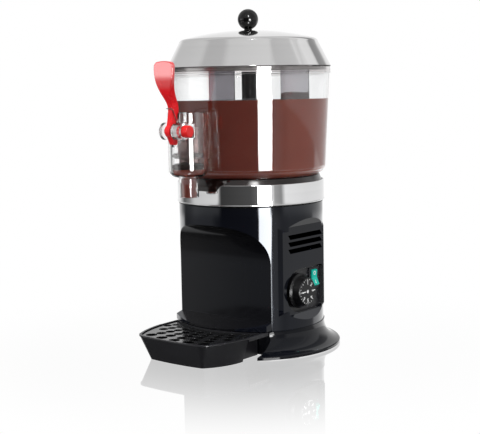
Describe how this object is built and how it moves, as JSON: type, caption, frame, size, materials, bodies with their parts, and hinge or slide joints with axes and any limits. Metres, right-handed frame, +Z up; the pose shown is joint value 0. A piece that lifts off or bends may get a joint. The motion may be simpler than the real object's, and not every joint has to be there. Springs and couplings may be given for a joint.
{
  "type": "hot chocolate dispenser",
  "caption": "Counter-top hot chocolate dispenser: clear stirred bowl with a lever tap over a heated round body with a cup niche, drip tray, dial and lit switch.",
  "frame": {"origin": "on the upright axis of the body, bowl and mixer, at the counter plane under the feet", "axes": "+Z up along the machine's axis; -Y is the front, with the tap and the drip tray; +X is the control side, with the dial and the switch"},
  "size_m": [0.26, 0.32, 0.4911],
  "materials": {
    "black_gloss": "glossy black",
    "black_matt": "satin black",
    "polished_steel": "polished",
    "plain_steel": "satin",
    "rubber": "matt black",
    "clear": "clear",
    "red": "glossy red",
    "green": "translucent green",
    "smoke_grey": "translucent grey",
    "dark_grey": "satin dark grey",
    "cast_alloy": "as cast",
    "core_iron": "laminated",
    "copper_wire": "varnished copper wire",
    "bronze": "sintered bronze"
  },
  "bodies": {
    "base": {"base_flange": "black_gloss", "bottom_plate": "plain_steel", "feet": "rubber", "base_screws": "plain_steel", "body_shell": "black_gloss", "control_plate": "black_matt", "thermostat_body": "dark_grey", "switch_body": "black_matt", "cable_gland": "black_matt", "water_tank": "polished_steel", "tank_tube": "plain_steel", "heating_element": "plain_steel", "shaft_bush": "bronze", "bowl_seal": "rubber", "safety_cutout": "cast_alloy", "bracket_standoffs": "plain_steel", "motor_bracket": "plain_steel", "gear_case": "cast_alloy", "motor_stack": "core_iron", "motor_coil": "copper_wire", "terminal_block": "black_matt"},
    "drive_shaft": {"drive_shaft": "plain_steel"},
    "bowl": {"bowl": "clear", "bowl_foot": "clear", "bowl_tube": "clear", "tap_housing": "clear", "tap_spout": "clear", "tap_duct": "clear", "lever_pin": "red", "lever_spring": "plain_steel"},
    "lid": {"lid": "polished_steel", "knob_disc": "black_gloss", "lid_knob": "black_gloss", "lid_screw": "plain_steel"},
    "mixer": {"mixer_column": "dark_grey", "mixer_blades": "smoke_grey"},
    "lever": {"tap_lever": "red"},
    "piston": {"tap_piston": "smoke_grey", "lower_seal": "rubber", "upper_seal": "rubber"},
    "dial": {"thermostat_knob": "black_matt", "thermostat_spindle": "plain_steel"},
    "rocker": {"switch_rocker": "green"},
    "tray": {"drip_tray": "black_matt"},
    "grid": {"drip_grid": "black_matt"}
  },
  "joints": [
    {"name": "bowl_lift", "type": "slide", "parent": "base", "child": "bowl", "axis": [0, 0, 1], "range_m": [0, 0.18]},
    {"name": "lid_lift", "type": "slide", "parent": "bowl", "child": "lid", "axis": [0, 0, 1], "range_m": [0, 0.1]},
    {"name": "mixer_spin", "type": "hinge", "parent": "bowl", "child": "mixer", "pos_m": [0, 0, 0.3], "axis": [0, 0, 1], "continuous": true},
    {"name": "shaft_spin", "type": "hinge", "parent": "base", "child": "drive_shaft", "pos_m": [0, 0, 0.3], "axis": [0, 0, 1], "continuous": true},
    {"name": "lever_pull", "type": "hinge", "parent": "bowl", "child": "lever", "pos_m": [0, -0.1727, 0.3216], "axis": [1, 0, 0], "range_deg": [0, 25], "stiffness_Nm_per_rad": 0.35, "springref_deg": -34.38, "deforming": ["lever_spring"]},
    {"name": "piston_lift", "type": "slide", "parent": "bowl", "child": "piston", "axis": [0, 0, 1], "range_m": [0, 0.0148]},
    {"name": "dial_turn", "type": "hinge", "parent": "base", "child": "dial", "pos_m": [0.0935, -0.016, 0.0885], "axis": [-1, 0, 0], "range_deg": [0, 270]},
    {"name": "rocker_tip", "type": "hinge", "parent": "base", "child": "rocker", "pos_m": [0.091, 0.0255, 0.1005], "axis": [0, 1, 0], "range_deg": [0, 20]},
    {"name": "tray_pull", "type": "slide", "parent": "base", "child": "tray", "axis": [0, -1, 0], "range_m": [0, 0.13]},
    {"name": "grid_lift", "type": "slide", "parent": "tray", "child": "grid", "axis": [0, 0, 1], "range_m": [0, 0.04]}
  ],
  "couplings": [
    {"joint": "shaft_spin", "follows": "mixer_spin", "ratio": 1},
    {"joint": "piston_lift", "follows": "lever_pull", "m_per_rad": 0.033731}
  ]
}
